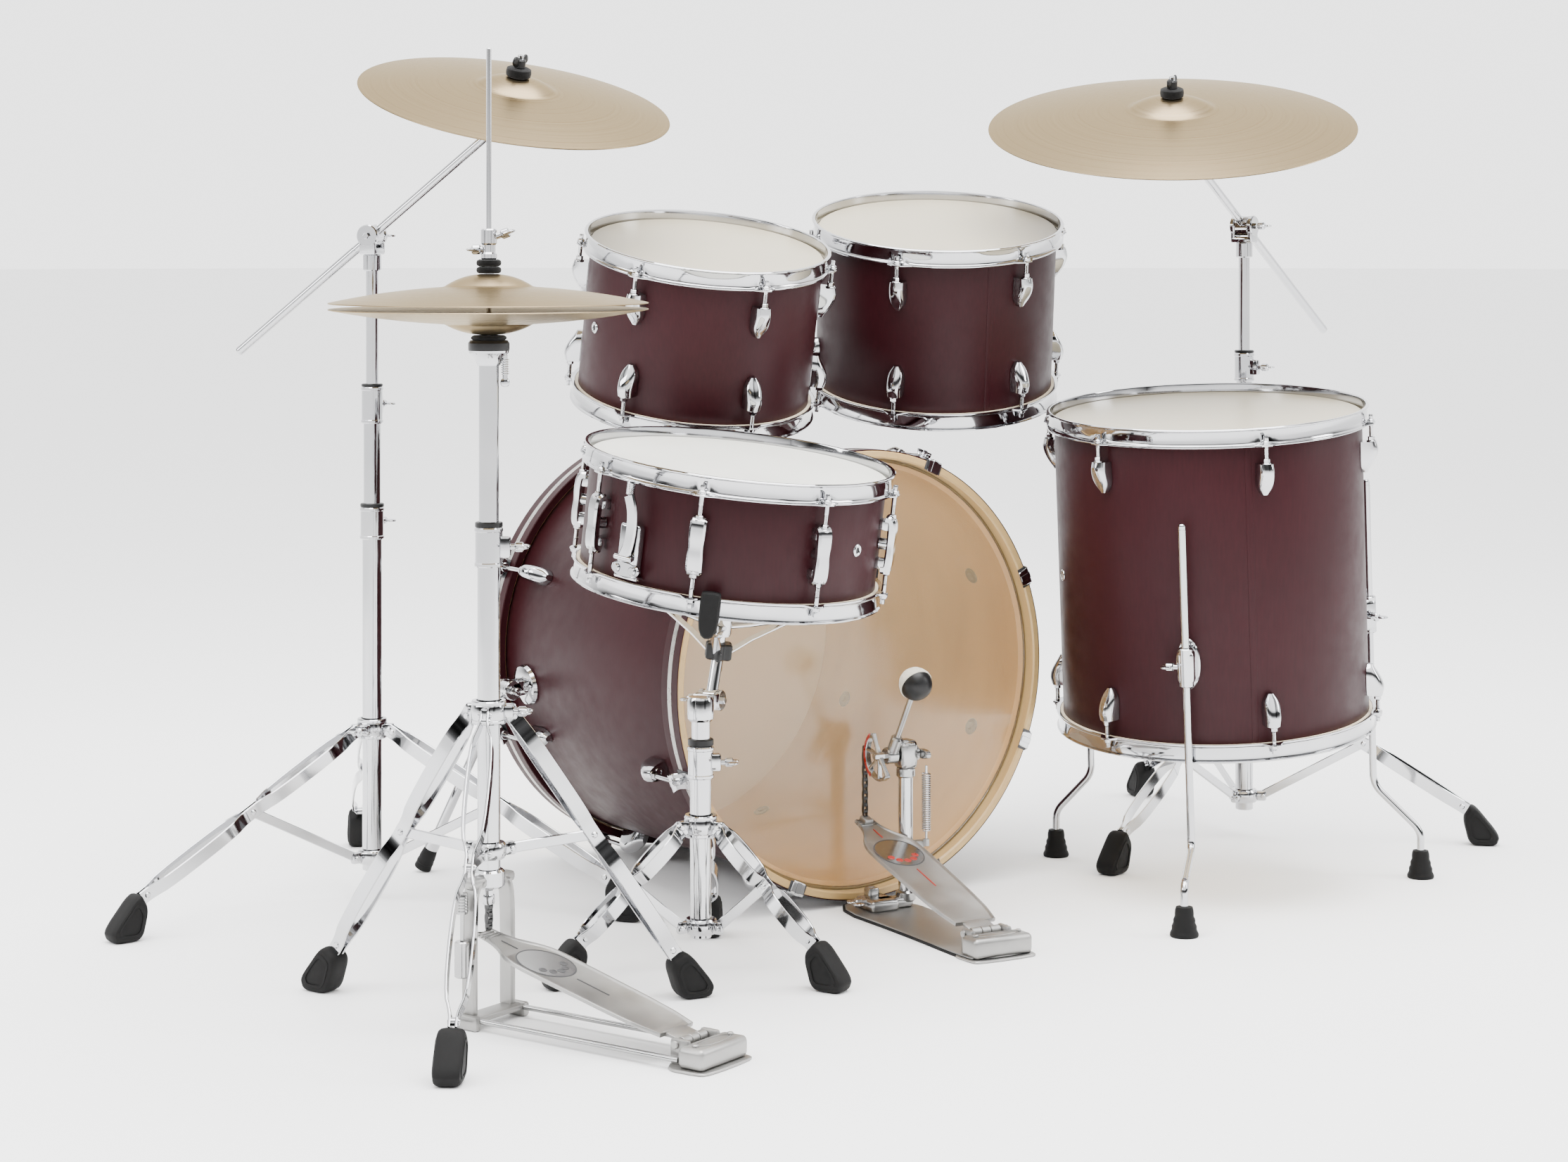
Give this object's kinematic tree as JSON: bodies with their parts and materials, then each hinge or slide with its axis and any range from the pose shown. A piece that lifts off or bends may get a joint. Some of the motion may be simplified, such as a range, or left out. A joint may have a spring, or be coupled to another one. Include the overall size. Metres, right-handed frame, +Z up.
{
  "type": "acoustic drum kit",
  "caption": "Acoustic drum kit: bass drum with pedal, mounted toms, floor tom, snare on its stand, hi-hat, crash and ride on boom stands.",
  "frame": {"origin": "on the floor under the middle of the kit's bounding box", "axes": "+Z up, +Y from the bass drum's front head to the player, +X towards the hi-hat"},
  "size_m": [1.8823, 1.3149, 1.1136],
  "materials": {
    "burgundy_shell": "satin lacquer",
    "hoop_wood": "satin",
    "clear_head": "clear film",
    "white_head": "coated film",
    "coated_head": "coated film",
    "cream_head": "smooth film",
    "cymbal_bronze": "lathed",
    "black_rubber": "matte",
    "satin_cast": "satin",
    "dark_steel": "oiled",
    "chrome": "polished"
  },
  "bodies": {
    "kit": {"bass_shell": "burgundy_shell", "bass_hoops": "hoop_wood", "bass_batter_head": "clear_head", "bass_front_head": "white_head", "bass_hardware": "chrome", "bass_claws": "chrome", "tom_holder": "chrome", "floor_tom_shell": "burgundy_shell", "floor_tom_hoops": "chrome", "floor_tom_heads": "cream_head", "floor_tom_hardware": "chrome", "snare_stand_base": "chrome", "crash_stand_base": "chrome", "ride_stand_base": "chrome", "hihat_stand_base": "chrome", "kick_base": "satin_cast", "kick_spring": "dark_steel", "rubber_feet": "black_rubber"},
    "bass_spur_left": {"bass_spur_left": "chrome"},
    "bass_spur_right": {"bass_spur_right": "chrome"},
    "tom_left_post": {"tom_left_post": "chrome"},
    "tom_left_arm": {"tom_left_arm": "chrome"},
    "tom_left_drum": {"tom_left_shell": "burgundy_shell", "tom_left_hoops": "chrome", "tom_left_heads": "cream_head", "tom_left_hardware": "chrome"},
    "tom_right_post": {"tom_right_post": "chrome"},
    "tom_right_arm": {"tom_right_arm": "chrome"},
    "tom_right_drum": {"tom_right_shell": "burgundy_shell", "tom_right_hoops": "chrome", "tom_right_heads": "cream_head", "tom_right_hardware": "chrome"},
    "floor_tom_leg_front": {"floor_tom_leg_front": "chrome"},
    "floor_tom_leg_left": {"floor_tom_leg_left": "chrome"},
    "floor_tom_leg_right": {"floor_tom_leg_right": "chrome"},
    "snare_stand_tube": {"snare_stand_tube": "chrome"},
    "snare_basket": {"snare_basket": "chrome"},
    "snare_drum": {"snare_shell": "burgundy_shell", "snare_hoops": "chrome", "snare_heads": "coated_head", "snare_hardware": "chrome", "snare_wires": "chrome"},
    "snare_lever": {"snare_lever": "chrome"},
    "crash_tube": {"crash_tube": "chrome"},
    "crash_boom": {"crash_boom": "chrome"},
    "crash_tilter": {"crash_tilter": "chrome"},
    "crash_cymbal": {"crash_cymbal": "cymbal_bronze"},
    "ride_tube": {"ride_tube": "chrome"},
    "ride_boom": {"ride_boom": "chrome"},
    "ride_tilter": {"ride_tilter": "chrome"},
    "ride_cymbal": {"ride_cymbal": "cymbal_bronze"},
    "hihat_footboard": {"hihat_footboard": "satin_cast"},
    "hihat_rod": {"hihat_rod": "chrome"},
    "hihat_tube": {"hihat_tube": "chrome", "hihat_bottom_cymbal": "cymbal_bronze"},
    "hihat_top": {"hihat_top_cymbal": "cymbal_bronze", "hihat_clutch": "chrome"},
    "kick_footboard": {"kick_footboard": "satin_cast"},
    "kick_beater": {"kick_beater": "chrome"},
    "kick_chain": {"kick_chain": "dark_steel"}
  },
  "joints": [
    {"name": "bass_spur_left_fold", "type": "hinge", "parent": "kit", "child": "bass_spur_left", "pos_m": [0.34389, -0.3163, 0.25604], "axis": [0, -1, 0], "range_deg": [0, 22]},
    {"name": "bass_spur_right_fold", "type": "hinge", "parent": "kit", "child": "bass_spur_right", "pos_m": [-0.26889, -0.3163, 0.25604], "axis": [0, 1, 0], "range_deg": [0, 40]},
    {"name": "tom_left_post_swivel", "type": "hinge", "parent": "kit", "child": "tom_left_post", "pos_m": [0.0925, -0.2763, 0.81738], "axis": [0, 0, 1], "range_deg": [-12, 4]},
    {"name": "tom_left_arm_tilt", "type": "hinge", "parent": "tom_left_post", "child": "tom_left_arm", "pos_m": [0.0925, -0.2763, 0.81738], "axis": [-0.8939, 0.4483, 0], "range_deg": [-8, 3.5]},
    {"name": "tom_left_slide", "type": "slide", "parent": "tom_left_arm", "child": "tom_left_drum", "axis": [0.4348, 0.867, -0.2434], "range_m": [0, 0.02]},
    {"name": "tom_right_post_swivel", "type": "hinge", "parent": "kit", "child": "tom_right_post", "pos_m": [-0.0175, -0.2763, 0.78724], "axis": [0, 0, -1], "range_deg": [-12, 4]},
    {"name": "tom_right_arm_tilt", "type": "hinge", "parent": "tom_right_post", "child": "tom_right_arm", "pos_m": [-0.0175, -0.2763, 0.78724], "axis": [-0.7033, -0.7109, 0], "range_deg": [-8, 3]},
    {"name": "tom_right_slide", "type": "slide", "parent": "tom_right_arm", "child": "tom_right_drum", "axis": [-0.7096, 0.7021, -0.0584], "range_m": [0, 0.02]},
    {"name": "floor_tom_leg_front_slide", "type": "slide", "parent": "kit", "child": "floor_tom_leg_front", "axis": [0.0823, 0.0475, 0.9955], "range_m": [0, 0.1]},
    {"name": "floor_tom_leg_left_slide", "type": "slide", "parent": "kit", "child": "floor_tom_leg_left", "axis": [0.0823, 0.0475, 0.9955], "range_m": [0, 0.1]},
    {"name": "floor_tom_leg_right_slide", "type": "slide", "parent": "kit", "child": "floor_tom_leg_right", "axis": [0.0823, 0.0475, 0.9955], "range_m": [0, 0.1]},
    {"name": "snare_stand_height", "type": "slide", "parent": "kit", "child": "snare_stand_tube", "axis": [0, 0, 1], "range_m": [-0.01, 0.05]},
    {"name": "snare_basket_tilt", "type": "hinge", "parent": "snare_stand_tube", "child": "snare_basket", "pos_m": [0.3892, 0.25158, 0.318], "axis": [0.5373, -0.8434, 0], "range_deg": [-6, 0]},
    {"name": "snare_drum_lift", "type": "slide", "parent": "snare_basket", "child": "snare_drum", "axis": [-0.0458, 0.1288, 0.9906], "range_m": [0, 0.15]},
    {"name": "snare_lever_throw", "type": "hinge", "parent": "snare_drum", "child": "snare_lever", "pos_m": [0.55432, 0.31908, 0.50412], "axis": [-0.2987, 0.9445, -0.1366], "range_deg": [0, 70]},
    {"name": "crash_height", "type": "slide", "parent": "kit", "child": "crash_tube", "axis": [0, 0, 1], "range_m": [-0.05, 0.15]},
    {"name": "crash_boom_tilt", "type": "hinge", "parent": "crash_tube", "child": "crash_boom", "pos_m": [0.5575, -0.3013, 0.872], "axis": [-0.788, -0.6157, 0], "range_deg": [-10, 10]},
    {"name": "crash_tilter_tilt", "type": "hinge", "parent": "crash_boom", "child": "crash_tilter", "pos_m": [0.43501, -0.14452, 1.03078], "axis": [-0.788, -0.6157, 0], "range_deg": [-15, 15]},
    {"name": "crash_cymbal_spin", "type": "hinge", "parent": "crash_tilter", "child": "crash_cymbal", "pos_m": [0.4355, -0.1393, 1.046], "axis": [0.0304, 0.3242, 0.9455], "continuous": true},
    {"name": "ride_height", "type": "slide", "parent": "kit", "child": "ride_tube", "axis": [0, 0, 1], "range_m": [-0.05, 0.15]},
    {"name": "ride_boom_tilt", "type": "hinge", "parent": "ride_tube", "child": "ride_boom", "pos_m": [-0.6745, 0.0427, 0.885], "axis": [-0.369, 0.9294, 0], "range_deg": [-19, 14]},
    {"name": "ride_tilter_tilt", "type": "hinge", "parent": "ride_boom", "child": "ride_tilter", "pos_m": [-0.45693, 0.12907, 1.01624], "axis": [-0.369, 0.9294, 0], "range_deg": [-15, 15]},
    {"name": "ride_cymbal_spin", "type": "hinge", "parent": "ride_tilter", "child": "ride_cymbal", "pos_m": [-0.4555, 0.1307, 1.023], "axis": [0.202, 0.2297, 0.9521], "continuous": true},
    {"name": "hihat_pedal", "type": "hinge", "parent": "kit", "child": "hihat_footboard", "pos_m": [0.63824, 0.59346, 0.024], "axis": [0.9391, 0.3437, 0], "range_deg": [0, 1.1], "stiffness_Nm_per_rad": 60, "springref_deg": -6.88},
    {"name": "hihat_rod_pull", "type": "slide", "parent": "kit", "child": "hihat_rod", "axis": [0, 0, -1], "range_m": [0, 0.0056]},
    {"name": "hihat_height", "type": "slide", "parent": "kit", "child": "hihat_tube", "axis": [0, 0, 1], "range_m": [-0.08, 0]},
    {"name": "hihat_clutch_slide", "type": "slide", "parent": "hihat_rod", "child": "hihat_top", "axis": [0, 0, 1], "range_m": [0, 0.08]},
    {"name": "kick_board_press", "type": "hinge", "parent": "kit", "child": "kick_footboard", "pos_m": [0.07912, 0.38711, 0.026], "axis": [0.9959, -0.0906, 0], "range_deg": [0, 7]},
    {"name": "kick_beater_swing", "type": "hinge", "parent": "kit", "child": "kick_beater", "pos_m": [0.0395, 0.1437, 0.202], "axis": [0.9959, -0.0906, 0], "range_deg": [0, 55.4], "stiffness_Nm_per_rad": 0.6, "springref_deg": -34.38, "deforming": ["kick_spring"]},
    {"name": "kick_chain_drop", "type": "slide", "parent": "kit", "child": "kick_chain", "axis": [0, 0, -1], "range_m": [0, 0.0349]}
  ],
  "couplings": [
    {"joint": "hihat_rod_pull", "follows": "hihat_pedal", "m_per_rad": 0.285},
    {"joint": "kick_beater_swing", "follows": "kick_board_press", "ratio": 7.9},
    {"joint": "kick_chain_drop", "follows": "kick_board_press", "m_per_rad": 0.285}
  ]
}
